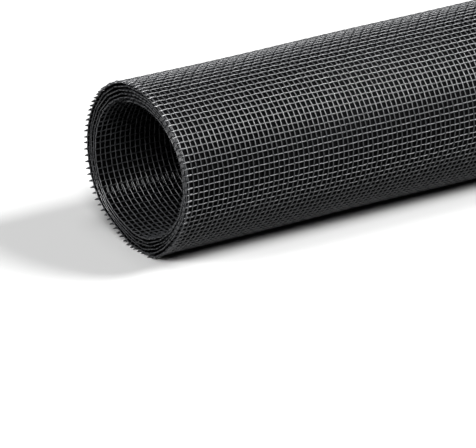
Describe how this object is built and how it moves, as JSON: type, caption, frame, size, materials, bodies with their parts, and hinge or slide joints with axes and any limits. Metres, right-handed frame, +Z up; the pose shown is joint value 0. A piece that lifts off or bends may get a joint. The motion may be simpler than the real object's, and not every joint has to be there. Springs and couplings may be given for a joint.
{
  "type": "window screen mesh roll",
  "caption": "A cut length of charcoal fibreglass insect screen cloth wound into a loose roll that lies on its side, its bore open from end to end and its cut yarn ends like fine teeth.",
  "frame": {"origin": "on the surface that the roll lies on, under the middle of its box", "axes": "+X runs along the roll's bore from the end whose inner turns are drawn in to the end whose inner turns stand out, +Z is up, and the outer free edge lies on the surface on the -Y side of the flat spot"},
  "size_m": [0.6122, 0.0456, 0.0417],
  "materials": {
    "screen_yarn": "charcoal vinyl-coated glass yarn in an open plain weave, soft satin sheen along each yarn"
  },
  "bodies": {
    "root": {"screen_roll": "screen_yarn"}
  },
  "joints": []
}
